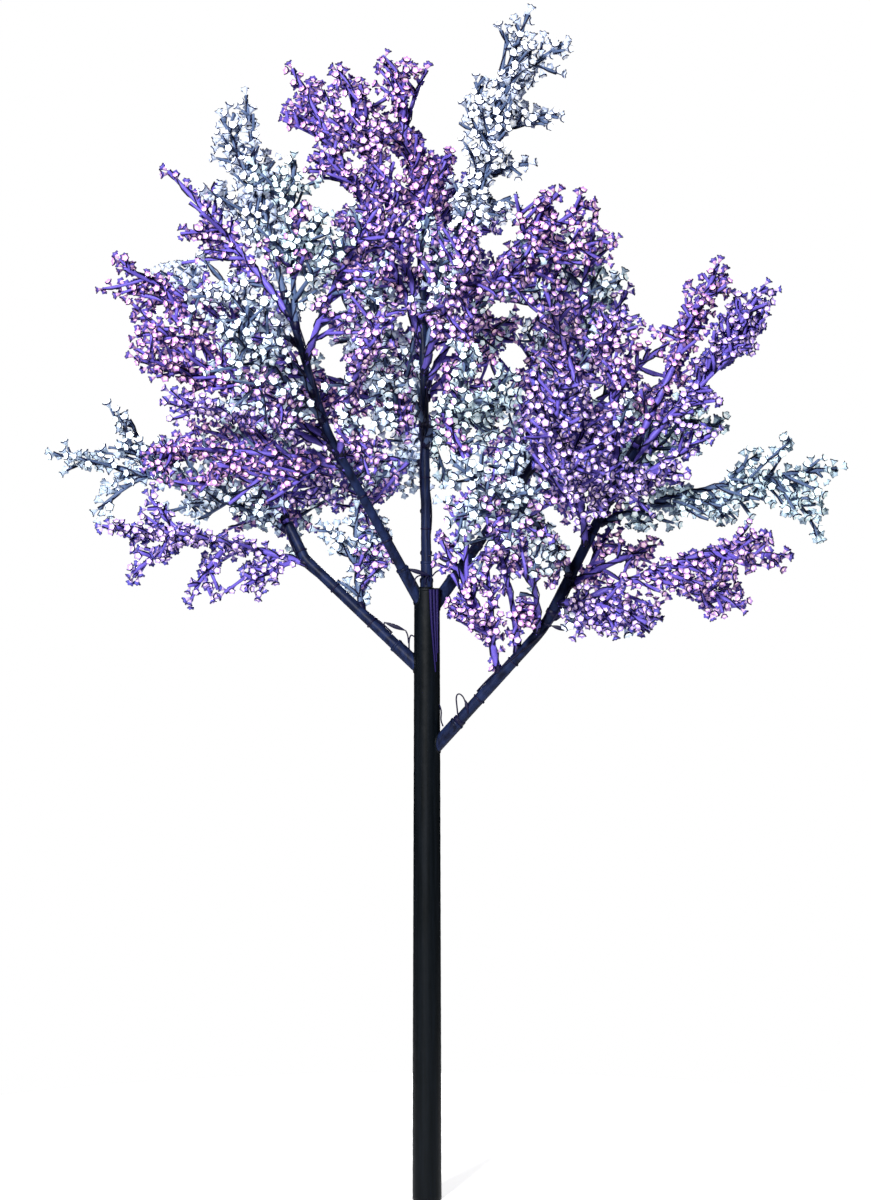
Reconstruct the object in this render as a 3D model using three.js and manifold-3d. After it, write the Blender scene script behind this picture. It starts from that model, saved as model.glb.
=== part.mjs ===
// Illuminated flowering cherry: a painted steel post with socketed boughs that carry sprays of
// violet and white blossom lamps. Millimetres, +Z up, -Y to the front, origin at the post's flat foot.
import * as THREE from "three";
import { mergeVertices } from "three/addons/utils/BufferGeometryUtils.js";
import Module from "manifold-3d";

const wasm = await Module();
wasm.setup();

// Post: a round tube that tapers from the ground to the fork.
const POST_HEIGHT = 1790;
const POST_FOOT_RADIUS = 43;
const POST_TOP_RADIUS = 37.5;
const POST_SIDES = 24;

// Sockets: sleeves welded to the post, each gripping the foot of one bough.
const SOCKET_WALL = 3;
const SOCKET_GRIP = 55;
const SOCKET_SIDES = 12;
const CLEARANCE = 0.3;
const FLATNESS = 0.02;

// Boughs: pipes that leave the post's axis at the height foot, turn at bend and end at tip. socket is
// how far the sleeve reaches from the axis, and shown the share of the pipe that no spray stands before.
const BOUGH_SIDES = 12;
const BEND_SHARE = 0.08;
const BOUGHS = {
  lower_right_bough: {
    foot: 1298,
    bend: [340, -110, 1676],
    tip: [594, -240, 2190],
    radii: [17, 14],
    socket: 140,
    shown: 0.75,
  },
  lower_left_bough: {
    foot: 1536,
    bend: [-360, 60, 1876],
    tip: [-412, 80, 1981],
    radii: [17, 15],
    socket: 130,
    shown: 1,
  },
  upper_left_bough: {
    foot: 1715,
    bend: [-286, -150, 2236],
    tip: [-400, -190, 2605],
    radii: [15, 10],
    socket: 160,
    shown: 0.95,
  },
  crown_pole: {
    foot: 1740,
    bend: [-5, 0, 2200],
    tip: [-14, 0, 2663],
    radii: [14, 11],
    socket: 130,
    shown: 0.9,
  },
  rear_right_bough: {
    foot: 1707,
    bend: [173, 130, 1951],
    tip: [390, 330, 2268],
    radii: [16, 12],
    socket: 150,
    shown: 0.4,
  },
  back_bough: {
    foot: 1690,
    bend: [-5, 230, 2050],
    tip: [-11, 470, 2420],
    radii: [16, 12],
    socket: 150,
    shown: 0,
  },
};

// Sprays: the share of the bough at which each stem leaves it, and the point its last blossom reaches.
// A share of 1 carries straight on from the bough's tip. The first word of a name is the lamp colour.
const SPRAYS = {
  lower_left_bough: [
    { name: "white_inner_left", at: 0.42, tip: [-215, 100, 2050] },
    { name: "violet_lower_left", at: 0.76, tip: [-981, 20, 1981] },
    { name: "violet_left_rear", at: 0.88, tip: [-640, 520, 2330] },
    { name: "white_far_left", at: 0.95, tip: [-1138, 150, 2205] },
    { name: "violet_left_rise", at: 1, tip: [-372, 180, 2390] },
  ],
  upper_left_bough: [
    { name: "violet_left_low", at: 0.49, tip: [-838, -120, 2189] },
    { name: "violet_front_left", at: 0.53, tip: [-137, -750, 2480] },
    { name: "violet_left_outer", at: 0.555, tip: [-770, -190, 2335] },
    { name: "violet_left_mid", at: 0.587, tip: [-867, -150, 2470] },
    { name: "white_front_left", at: 0.64, tip: [-560, -680, 2500] },
    { name: "white_left_upright", at: 0.71, tip: [-643, -320, 2738] },
    { name: "violet_left_high", at: 0.77, tip: [-905, -60, 2742] },
    { name: "violet_inner_left", at: 0.82, tip: [-130, -420, 2880] },
    { name: "white_left_high", at: 0.87, tip: [-811, 120, 2744] },
    { name: "white_left_crest", at: 0.91, tip: [-377, -330, 3025] },
    { name: "violet_left_spear", at: 0.95, tip: [-763, -120, 3018] },
    { name: "white_left_spire", at: 1, tip: [-530, -140, 3238] },
  ],
  crown_pole: [
    { name: "white_front_centre", at: 0.5, tip: [110, -720, 2310] },
    { name: "white_front_inner", at: 0.57, tip: [-120, -680, 2350] },
    { name: "white_rear_high", at: 0.63, tip: [-300, 620, 2850] },
    { name: "violet_right_high", at: 0.68, tip: [392, -80, 2963] },
    { name: "violet_front_high", at: 0.73, tip: [119, -650, 2679] },
    { name: "white_top_right", at: 0.78, tip: [300, -60, 3487] },
    { name: "violet_top_left", at: 0.83, tip: [-406, 40, 3344] },
    { name: "violet_top_mid", at: 0.88, tip: [-255, -60, 3325] },
    { name: "violet_rear_high", at: 0.93, tip: [120, 520, 3080] },
    { name: "violet_top", at: 1, tip: [-108, 20, 3345] },
  ],
  rear_right_bough: [
    { name: "white_rear_right", at: 0.62, tip: [350, 880, 2300] },
    { name: "violet_right_rear", at: 0.76, tip: [760, 640, 2450] },
    { name: "violet_right_arm", at: 0.86, tip: [741, 150, 2544] },
    { name: "violet_right_crown", at: 0.9, tip: [505, 40, 2915] },
    { name: "violet_right_spire", at: 0.94, tip: [611, 200, 2707] },
    { name: "white_right_high", at: 1, tip: [510, 230, 2882] },
  ],
  lower_right_bough: [
    { name: "violet_inner_low", at: 0.29, tip: [35, -160, 1954] },
    { name: "violet_inner_mid", at: 0.36, tip: [205, -120, 1945] },
    { name: "violet_inner_right", at: 0.44, tip: [292, -330, 1868] },
    { name: "violet_lower_right", at: 0.49, tip: [989, -200, 1953] },
    { name: "violet_low_front", at: 0.54, tip: [640, -380, 1695] },
    { name: "violet_right_inner", at: 0.58, tip: [690, -60, 1930] },
    { name: "white_front_right", at: 0.62, tip: [130, -800, 2075] },
    { name: "violet_front_right", at: 0.71, tip: [304, -800, 2289] },
    { name: "white_far_right", at: 0.77, tip: [1212, -120, 2148] },
    { name: "violet_mid_right", at: 0.8, tip: [345, -120, 2670] },
    { name: "violet_right_low", at: 0.83, tip: [839, -330, 2249] },
    { name: "white_right_small", at: 0.86, tip: [830, 20, 2350] },
    { name: "violet_right_crest", at: 0.89, tip: [491, -300, 2605] },
    { name: "violet_right_fork", at: 0.905, tip: [980, -280, 2607] },
    { name: "violet_right_tower", at: 1, tip: [844, -250, 2738] },
  ],
  back_bough: [
    { name: "white_rear_left", at: 0.65, tip: [-420, 850, 2150] },
    { name: "white_rear_low", at: 0.75, tip: [-80, 1000, 2250] },
    { name: "violet_rear_left", at: 0.85, tip: [-560, 800, 2520] },
    { name: "violet_rear_right", at: 0.92, tip: [280, 860, 2650] },
    { name: "violet_rear_spire", at: 1, tip: [-160, 760, 2950] },
  ],
};

// Growing rule of a spray: straight twigs leave the five flat sides of the stem in a two-fifths spiral,
// shorter towards its tip, and each ends in a blossom. A twig with no room is tried on the sides that
// come next in the spiral, and then smaller.
const SIDES = 5;
const TURN = 2 / 5;
const STEM_RADII = [9, 4];
const STEM_RING_SHARES = [0, 0.25, 0.5, 0.75, 1];
const STEM_SPRING = 0.4;
const STEM_AIM = 3;
const TWIG_RADIUS_SHARES = [0.5, 0.35];
const TWIG_STEP = 96;
const TWIG_FIRST = 0.18;
const TWIG_LAST = 0.86;
const TWIG_LEAST = 3;
const TWIG_ANGLE = THREE.MathUtils.degToRad(52);
const TWIG_ANGLE_SPREAD = THREE.MathUtils.degToRad(16);
const TWIG_SHARES = [0.36, 0.17];
const TWIG_LONGEST = [230, 110];
const TWIG_SIZE_SPREAD = 0.4;
const TWIG_TRIES = [1, 0.7, 0.45];
const TWIG_PROBES = [0.3, 0.65, 1];

// Room of a spray: nearer to its own stem than to another, off the limbs, and out of the lanes along
// which the boughs show to someone standing at LOOKOUT in front of the tree.
const PATH_PIECES = 10;
const LANE_PROBES = 50;
const LOOKOUT = new THREE.Vector3(0, -9000, 1755);

// Blossoms: five-sided trumpets, larger than life because each stands for a few lamps.
const BLOSSOM_LENGTH = 72;
const BLOSSOM_RADIUS = 28;
const BLOSSOM_HOLLOW = 18;
const BLOSSOM_ROOT_SINK = 2;
const BLOSSOM_LEAN = THREE.MathUtils.degToRad(55);
const BLOSSOM_TRIES = [1, 0.75];
const SIDE_BLOSSOM_AT = 0.55;

const UP = new THREE.Vector3(0, 0, 1);
const ALONG_Y = new THREE.Vector3(0, 1, 0);
const STEEP = 0.95;

const MATERIALS = {
  post: new THREE.MeshStandardMaterial({ color: 0x0d1318, roughness: 0.45, metalness: 0.3 }),
  bough: new THREE.MeshStandardMaterial({ color: 0x1b1f3c, roughness: 0.45, metalness: 0.3 }),
  violet: new THREE.MeshStandardMaterial({ color: 0x5b47a5, roughness: 0.5, metalness: 0 }),
  white: new THREE.MeshStandardMaterial({ color: 0xdfe8f4, roughness: 0.4, metalness: 0 }),
};

// Seeded random numbers from 0 to 1, so that the tree grows the same way every time.
function seededRandom(seed) {
  let state = seed >>> 0;
  return () => {
    state = (state + 0x6d2b79f5) >>> 0;
    let mixed = Math.imul(state ^ (state >>> 15), state | 1);
    mixed ^= mixed + Math.imul(mixed ^ (mixed >>> 7), mixed | 61);
    return ((mixed ^ (mixed >>> 14)) >>> 0) / 2 ** 32;
  };
}

// The square frame of a limb at a point of its curve, its first axis kept near the limb's side.
function frameAt({ curve, side }, share) {
  const along = curve.getTangent(share);
  const first = side.clone().addScaledVector(along, -side.dot(along)).normalize();
  const second = new THREE.Vector3().crossVectors(along, first);
  return { centre: curve.getPoint(share), along, first, second };
}

// A closed skin over rings of points; an end with one point comes to a tip and any other is flat.
function loftGeometry(rings) {
  const starts = [];
  const index = [];
  rings.reduce((sum, ring) => {
    starts.push(sum);
    return sum + ring.length;
  }, 0);
  for (let i = 1; i < rings.length; i++) {
    const count = Math.max(rings[i - 1].length, rings[i].length);
    const low = (k) => starts[i - 1] + (k % rings[i - 1].length);
    const high = (k) => starts[i] + (k % rings[i].length);
    for (let k = 0; k < count; k++) {
      if (rings[i - 1].length > 1) index.push(low(k), low(k + 1), high(k + 1));
      if (rings[i].length > 1) index.push(low(k), high(k + 1), high(k));
    }
  }
  const last = starts[rings.length - 1];
  for (let k = 2; k < rings[0].length; k++) index.push(0, k, k - 1);
  for (let k = 2; k < rings[rings.length - 1].length; k++) index.push(last, last + k - 1, last + k);
  return new THREE.BufferGeometry().setFromPoints(rings.flat()).setIndex(index);
}

// A ring of points round a frame, moved ahead along it.
function ringOf({ centre, along, first, second }, ahead, radius, sides) {
  return Array.from({ length: sides }, (_, k) => {
    const angle = (2 * Math.PI * k) / sides;
    return centre
      .clone()
      .addScaledVector(along, ahead)
      .addScaledVector(first, radius * Math.cos(angle))
      .addScaledVector(second, radius * Math.sin(angle));
  });
}

// Rings round a tapering limb at some shares of its curve.
function limbRings(limb, sides, shares) {
  return shares.map((share) => {
    return ringOf(frameAt(limb, share), 0, THREE.MathUtils.lerp(...limb.radii, share), sides);
  });
}

// The flare of a blossom beyond the end of a frame: its mouth, and the point its hollow comes to.
function flareRings(frame, size) {
  const floor = ringOf(frame, size * (BLOSSOM_LENGTH - BLOSSOM_HOLLOW), 0, 1);
  return [ringOf(frame, size * BLOSSOM_LENGTH, size * BLOSSOM_RADIUS, SIDES), floor];
}

// A closed geometry as a solid for joining and cutting.
function solidOf(geometry) {
  const bare = geometry.clone();
  bare.deleteAttribute("normal");
  bare.deleteAttribute("uv");
  const merged = mergeVertices(bare);
  return new wasm.Manifold(
    new wasm.Mesh({
      numProp: 3,
      vertProperties: merged.getAttribute("position").array,
      triVerts: new Uint32Array(merged.index.array),
    }),
  );
}

// The largest body of a solid as a named mesh that stands at origin; loose scraps of a cut are dropped.
function meshOf(name, solid, material, origin) {
  const [body] = solid.decompose().sort((a, b) => b.volume() - a.volume());
  const shape = body.getMesh();
  const geometry = new THREE.BufferGeometry();
  geometry.setAttribute("position", new THREE.BufferAttribute(shape.vertProperties, 3));
  geometry.setIndex(new THREE.BufferAttribute(shape.triVerts, 1));
  geometry.translate(-origin.x, -origin.y, -origin.z);
  geometry.computeVertexNormals();
  const mesh = new THREE.Mesh(geometry, material);
  mesh.name = name;
  mesh.position.copy(origin);
  return mesh;
}

// A unit vector square to a direction and level where it can be.
function sideOf(direction) {
  const level = Math.abs(direction.z) < STEEP * direction.length() ? UP : ALONG_Y;
  return new THREE.Vector3().crossVectors(direction, level).normalize();
}

// The centre line of a bough: two straight runs with a short round bend between them.
function boughCurve({ foot, bend, tip }) {
  const start = new THREE.Vector3(0, 0, foot);
  const turn = new THREE.Vector3(...bend);
  const end = new THREE.Vector3(...tip);
  const before = turn.clone().lerp(start, BEND_SHARE);
  const after = turn.clone().lerp(end, BEND_SHARE);
  const path = new THREE.CurvePath();
  path.add(new THREE.LineCurve3(start, before));
  path.add(new THREE.QuadraticBezierCurve3(before, turn, after));
  path.add(new THREE.LineCurve3(after, end));
  return path;
}

// The shares of a bough's length at which its bend begins, turns most and ends.
function bendShares(curve) {
  const [run, turn, whole] = curve.getCurveLengths();
  return [run / whole, (run + turn) / 2 / whole, turn / whole];
}

// The pipe of a bough, from inside its socket to its tip, grown by extra at both ends and all round.
function boughSolid({ curve, side, socket, radii }, extra) {
  const foot = (socket - SOCKET_GRIP - extra) / curve.getLength();
  const limb = { curve, side, radii: radii.map((radius) => radius + extra) };
  const end = ringOf(frameAt(limb, 1), extra, limb.radii[1], BOUGH_SIDES);
  return solidOf(loftGeometry([...limbRings(limb, BOUGH_SIDES, [foot, ...bendShares(curve)]), end]));
}

// The post with its sockets welded on, each bored for the bough that it grips.
function postSolid(boughs) {
  const tube = new THREE.CylinderGeometry(POST_TOP_RADIUS, POST_FOOT_RADIUS, POST_HEIGHT, POST_SIDES);
  tube.rotateX(Math.PI / 2).translate(0, 0, POST_HEIGHT / 2);
  const sockets = boughs.map(({ curve, side, socket, radii }) => {
    const radius = radii[0] + SOCKET_WALL;
    const sleeve = { curve, side, radii: [radius, radius] };
    return solidOf(loftGeometry(limbRings(sleeve, SOCKET_SIDES, [0, socket / curve.getLength()])));
  });
  const welded = wasm.Manifold.union([solidOf(tube), ...sockets]);
  return boughs.reduce((post, bough) => post.subtract(boughSolid(bough, CLEARANCE)), welded);
}

// The stem of a spray: it springs from its bough and swings out, one blossom short of the spray's tip.
function stemOf(bough, { at, tip }) {
  const base = bough.curve.getPointAt(at);
  const along = bough.curve.getTangentAt(at);
  if (at === 1) base.addScaledVector(along, CLEARANCE);
  const reach = new THREE.Vector3(...tip).sub(base);
  const aim = reach.clone().normalize();
  reach.addScaledVector(aim, -BLOSSOM_LENGTH);
  const spring = at === 1 ? along : along.addScaledVector(aim, STEM_AIM).normalize();
  const control = base.clone().addScaledVector(spring, STEM_SPRING * reach.length());
  const curve = new THREE.QuadraticBezierCurve3(base, control, base.clone().add(reach));
  return { curve, side: sideOf(aim), radii: STEM_RADII, blossom: 1 };
}

// A curve as short straight pieces, for measuring distances.
function pathOf(curve) {
  const points = curve.getSpacedPoints(PATH_PIECES);
  return points.slice(1).map((point, i) => new THREE.Line3(points[i], point));
}

// The least distance from a point to a path.
function distanceToPath(point, path) {
  const nearest = new THREE.Vector3();
  const distances = path.map((piece) => piece.closestPointToPoint(point, true, nearest).distanceTo(point));
  return Math.min(...distances);
}

// Whether a ball at point stands before a bough, seen from the lookout.
function hidesBough(point, reach, boughs) {
  const sight = point.clone().sub(LOOKOUT);
  return boughs.some((bough) =>
    bough.lane.some((mark) => {
      const behind = LOOKOUT.clone().addScaledVector(sight, (mark.y - LOOKOUT.y) / sight.y);
      return point.y < mark.y && behind.distanceTo(mark) < bough.radii[0] + reach;
    }),
  );
}

// Whether a ball at point keeps to the room of its spray.
function hasRoom(point, reach, spray, tree) {
  const own = distanceToPath(point, spray.path);
  const apart = 2 * reach + CLEARANCE;
  return (
    tree.sprays.every((other) => other === spray || distanceToPath(point, other.path) - own > apart) &&
    tree.limbs.every((limb) => distanceToPath(point, limb.path) > limb.radius + reach + CLEARANCE) &&
    !hidesBough(point, reach, tree.boughs)
  );
}

// The largest size at which a blossom that starts at root has room, or 0.
function blossomSize(root, heading, spray, tree) {
  const size = BLOSSOM_TRIES.find((one) => {
    const mouth = root.clone().addScaledVector(heading, one * BLOSSOM_LENGTH);
    return hasRoom(mouth, one * BLOSSOM_RADIUS, spray, tree);
  });
  return size ?? 0;
}

// A direction that leans out of a limb by angle, through one of its flat sides.
function leaning(limb, share, angle, face) {
  const { along, first, second } = frameAt(limb, share);
  const roll = (2 * Math.PI * (face + 0.5)) / SIDES;
  return along
    .multiplyScalar(Math.cos(angle))
    .addScaledVector(first, Math.sin(angle) * Math.cos(roll))
    .addScaledVector(second, Math.sin(angle) * Math.sin(roll));
}

// A twig out of one flat side of a stem; its blossom has size 0 where the twig has no room.
function twigOf(spray, share, angle, face, size, tree) {
  const root = spray.stem.curve.getPoint(share);
  const heading = leaning(spray.stem, share, angle, face);
  const curve = new THREE.LineCurve3(root, root.clone().addScaledVector(heading, size));
  const thickness = THREE.MathUtils.lerp(...STEM_RADII, share);
  const radii = TWIG_RADIUS_SHARES.map((part) => part * thickness);
  const clear = TWIG_PROBES.every((at) => hasRoom(curve.getPoint(at), radii[0], spray, tree));
  const blossom = clear ? blossomSize(curve.getPoint(1), heading, spray, tree) : 0;
  return { curve, side: sideOf(heading), radii, blossom };
}

// The twigs of one spray by the growing rule; a twig that has no room at any size is skipped.
function growTwigs(spray, tree) {
  const random = seededRandom(spray.seed);
  const length = spray.stem.curve.getLength();
  const count = Math.max(TWIG_LEAST, Math.round((length * (TWIG_LAST - TWIG_FIRST)) / TWIG_STEP));
  const firstFace = Math.floor(SIDES * random());
  const twigs = [];
  for (let i = 0; i < count; i++) {
    const share = THREE.MathUtils.lerp(TWIG_FIRST, TWIG_LAST, i / (count - 1));
    const angle = TWIG_ANGLE + TWIG_ANGLE_SPREAD * (random() - 0.5);
    const spread = 1 + TWIG_SIZE_SPREAD * (random() - 0.5);
    const longest = THREE.MathUtils.lerp(...TWIG_LONGEST, share);
    const full = spread * Math.min(longest, length * THREE.MathUtils.lerp(...TWIG_SHARES, share));
    const blossomFace = Math.floor(SIDES * random());
    const faces = Array.from({ length: SIDES }, (_, k) => firstFace + (i + k) * SIDES * TURN);
    const tries = TWIG_TRIES.flatMap((part) => faces.map((face) => ({ size: full * part, face })));
    for (const { size, face } of tries) {
      const twig = twigOf(spray, share, angle, face, size, tree);
      if (twig.blossom > 0) {
        twigs.push({ ...twig, blossomFace });
        break;
      }
    }
  }
  return twigs;
}

// A limb that ends in a blossom.
function floweringLimb(limb, shares) {
  return loftGeometry([...limbRings(limb, SIDES, shares), ...flareRings(frameAt(limb, 1), limb.blossom)]);
}

// The blossom that leans out of the side of a twig, as a list of one or none.
function sideBlossoms(twig, spray, tree) {
  const root = twig.curve.getPoint(SIDE_BLOSSOM_AT);
  const heading = leaning(twig, SIDE_BLOSSOM_AT, BLOSSOM_LEAN, twig.blossomFace);
  const size = blossomSize(root, heading, spray, tree);
  if (size === 0) return [];
  const stalk = { curve: new THREE.LineCurve3(root, root.clone().add(heading)), side: sideOf(heading) };
  const frame = frameAt(stalk, 0);
  return [loftGeometry([ringOf(frame, -BLOSSOM_ROOT_SINK, 0, 1), ...flareRings(frame, size)])];
}

// One spray as a single solid: stem, twigs and blossoms fused, with its foot cut clear of the bough.
function spraySolid(spray, tree) {
  const twigs = growTwigs(spray, tree);
  const grown = wasm.Manifold.union([
    solidOf(floweringLimb(spray.stem, STEM_RING_SHARES)),
    ...twigs.map((twig) => solidOf(floweringLimb(twig, [0, 1]))),
    ...twigs.flatMap((twig) => sideBlossoms(twig, spray, tree)).map(solidOf),
  ]);
  const whole = spray.at === 1 ? grown : grown.subtract(boughSolid(spray.bough, CLEARANCE));
  return whole.asOriginal().simplify(FLATNESS);
}

// The boughs, sprays and limbs of the tree as centre lines with their sizes.
function layOut() {
  const boughs = Object.entries(BOUGHS).map(([name, sizes]) => {
    const curve = boughCurve(sizes);
    const side = sideOf(new THREE.Vector3(...sizes.tip).setZ(sizes.tip[2] - sizes.foot));
    const marks = curve.getSpacedPoints(LANE_PROBES);
    const lane = marks.filter((_, i) => i < sizes.shown * LANE_PROBES);
    return { name, ...sizes, curve, side, lane };
  });
  const sprays = boughs.flatMap((bough) =>
    SPRAYS[bough.name].map((row) => {
      const stem = stemOf(bough, row);
      return { ...row, bough, stem, path: pathOf(stem.curve) };
    }),
  );
  sprays.forEach((spray, i) => (spray.seed = i + 1));
  const post = new THREE.LineCurve3(new THREE.Vector3(), new THREE.Vector3(0, 0, POST_HEIGHT));
  const limbs = boughs.map(({ curve, radii }) => ({ path: pathOf(curve), radius: radii[0] + SOCKET_WALL }));
  return { boughs, sprays, limbs: [...limbs, { path: pathOf(post), radius: POST_FOOT_RADIUS }] };
}

function cherryTree() {
  const tree = layOut();
  const group = new THREE.Group();
  group.name = "illuminated_cherry_tree";
  group.add(meshOf("post", postSolid(tree.boughs), MATERIALS.post, new THREE.Vector3()));
  for (const bough of tree.boughs) {
    const arm = new THREE.Group();
    arm.position.z = bough.foot;
    arm.add(meshOf(bough.name, boughSolid(bough, 0), MATERIALS.bough, arm.position));
    for (const spray of tree.sprays.filter((one) => one.bough === bough)) {
      const [colour] = spray.name.split("_");
      const base = spray.stem.curve.getPoint(0);
      arm.add(meshOf(spray.name, spraySolid(spray, tree), MATERIALS[colour], base));
    }
    arm.children.forEach((mesh) => mesh.position.sub(arm.position));
    group.add(arm);
  }
  return group;
}

export default cherryTree();
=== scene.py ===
"""Looks of the artificial flowering cherry: painted post and pipes, violet and white lamp blossoms.

Sizes are in millimetres, as in the part's source, and become metres where a mesh is made. The stage is
in metres. +Z is up and -Y is the front.
"""

import math

import bpy
import numpy as np
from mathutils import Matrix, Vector


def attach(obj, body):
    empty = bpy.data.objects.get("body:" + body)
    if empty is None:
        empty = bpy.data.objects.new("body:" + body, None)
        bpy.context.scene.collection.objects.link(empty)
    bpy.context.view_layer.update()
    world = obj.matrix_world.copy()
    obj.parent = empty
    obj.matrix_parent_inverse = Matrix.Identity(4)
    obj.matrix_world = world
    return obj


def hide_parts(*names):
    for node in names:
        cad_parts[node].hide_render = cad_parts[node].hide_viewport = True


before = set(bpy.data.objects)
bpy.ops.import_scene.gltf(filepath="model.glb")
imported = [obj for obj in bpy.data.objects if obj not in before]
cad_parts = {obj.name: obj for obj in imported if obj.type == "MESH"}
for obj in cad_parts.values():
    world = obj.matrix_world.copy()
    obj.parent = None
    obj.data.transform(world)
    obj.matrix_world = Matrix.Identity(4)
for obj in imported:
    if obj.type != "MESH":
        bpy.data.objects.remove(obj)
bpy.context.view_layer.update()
MM = 0.001

# Post, sleeves and boughs, as in the part's source.
POST_HEIGHT = 1790
POST_FOOT_RADIUS = 43
POST_TOP_RADIUS = 37.5
SOCKET_WALL = 3
SOCKET_GRIP = 55
CLEARANCE = 0.3
BEND_SHARE = 0.08
BEND_POINTS = 17
BOUGH_POINTS = 401
BOUGHS = {
    "lower_right_bough": dict(
        foot=1298, bend=(340, -110, 1676), tip=(594, -240, 2190), radii=(17, 14), socket=140, shown=0.75
    ),
    "lower_left_bough": dict(
        foot=1536, bend=(-360, 60, 1876), tip=(-412, 80, 1981), radii=(17, 15), socket=130, shown=1
    ),
    "upper_left_bough": dict(
        foot=1715, bend=(-286, -150, 2236), tip=(-400, -190, 2605), radii=(15, 10), socket=160, shown=0.95
    ),
    "crown_pole": dict(
        foot=1740, bend=(-5, 0, 2200), tip=(-14, 0, 2663), radii=(14, 11), socket=130, shown=0.9
    ),
    "rear_right_bough": dict(
        foot=1707, bend=(173, 130, 1951), tip=(390, 330, 2268), radii=(16, 12), socket=150, shown=0.4
    ),
    "back_bough": dict(
        foot=1690, bend=(-5, 230, 2050), tip=(-11, 470, 2420), radii=(16, 12), socket=150, shown=0
    ),
}

# Sprays: the share of the bough at which each stem leaves it, and the point its last blossom reaches.
SPRAYS = {
    "lower_right_bough": {
        "violet_inner_low": (0.29, (35, -160, 1954)),
        "violet_inner_mid": (0.36, (205, -120, 1945)),
        "violet_inner_right": (0.44, (292, -330, 1868)),
        "violet_lower_right": (0.49, (989, -200, 1953)),
        "violet_low_front": (0.54, (640, -380, 1695)),
        "violet_right_inner": (0.58, (690, -60, 1930)),
        "white_front_right": (0.62, (130, -800, 2075)),
        "violet_front_right": (0.71, (304, -800, 2289)),
        "white_far_right": (0.77, (1212, -120, 2148)),
        "violet_mid_right": (0.8, (345, -120, 2670)),
        "violet_right_low": (0.83, (839, -330, 2249)),
        "white_right_small": (0.86, (830, 20, 2350)),
        "violet_right_crest": (0.89, (491, -300, 2605)),
        "violet_right_fork": (0.905, (980, -280, 2607)),
        "violet_right_tower": (1, (844, -250, 2738)),
    },
    "lower_left_bough": {
        "white_inner_left": (0.42, (-215, 100, 2050)),
        "violet_lower_left": (0.76, (-981, 20, 1981)),
        "violet_left_rear": (0.88, (-640, 520, 2330)),
        "white_far_left": (0.95, (-1138, 150, 2205)),
        "violet_left_rise": (1, (-372, 180, 2390)),
    },
    "upper_left_bough": {
        "violet_left_low": (0.49, (-838, -120, 2189)),
        "violet_front_left": (0.53, (-137, -750, 2480)),
        "violet_left_outer": (0.555, (-770, -190, 2335)),
        "violet_left_mid": (0.587, (-867, -150, 2470)),
        "white_front_left": (0.64, (-560, -680, 2500)),
        "white_left_upright": (0.71, (-643, -320, 2738)),
        "violet_left_high": (0.77, (-905, -60, 2742)),
        "violet_inner_left": (0.82, (-130, -420, 2880)),
        "white_left_high": (0.87, (-811, 120, 2744)),
        "white_left_crest": (0.91, (-377, -330, 3025)),
        "violet_left_spear": (0.95, (-763, -120, 3018)),
        "white_left_spire": (1, (-530, -140, 3238)),
    },
    "crown_pole": {
        "white_front_centre": (0.5, (110, -720, 2310)),
        "white_front_inner": (0.57, (-120, -680, 2350)),
        "white_rear_high": (0.63, (-300, 620, 2850)),
        "violet_right_high": (0.68, (392, -80, 2963)),
        "violet_front_high": (0.73, (119, -650, 2679)),
        "white_top_right": (0.78, (300, -60, 3487)),
        "violet_top_left": (0.83, (-406, 40, 3344)),
        "violet_top_mid": (0.88, (-255, -60, 3325)),
        "violet_rear_high": (0.93, (120, 520, 3080)),
        "violet_top": (1, (-108, 20, 3345)),
    },
    "rear_right_bough": {
        "white_rear_right": (0.62, (350, 880, 2300)),
        "violet_right_rear": (0.76, (760, 640, 2450)),
        "violet_right_arm": (0.86, (741, 150, 2544)),
        "violet_right_crown": (0.9, (505, 40, 2915)),
        "violet_right_spire": (0.94, (611, 200, 2707)),
        "white_right_high": (1, (510, 230, 2882)),
    },
    "back_bough": {
        "white_rear_left": (0.65, (-420, 850, 2150)),
        "white_rear_low": (0.75, (-80, 1000, 2250)),
        "violet_rear_left": (0.85, (-560, 800, 2520)),
        "violet_rear_right": (0.92, (280, 860, 2650)),
        "violet_rear_spire": (1, (-160, 760, 2950)),
    },
}

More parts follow.
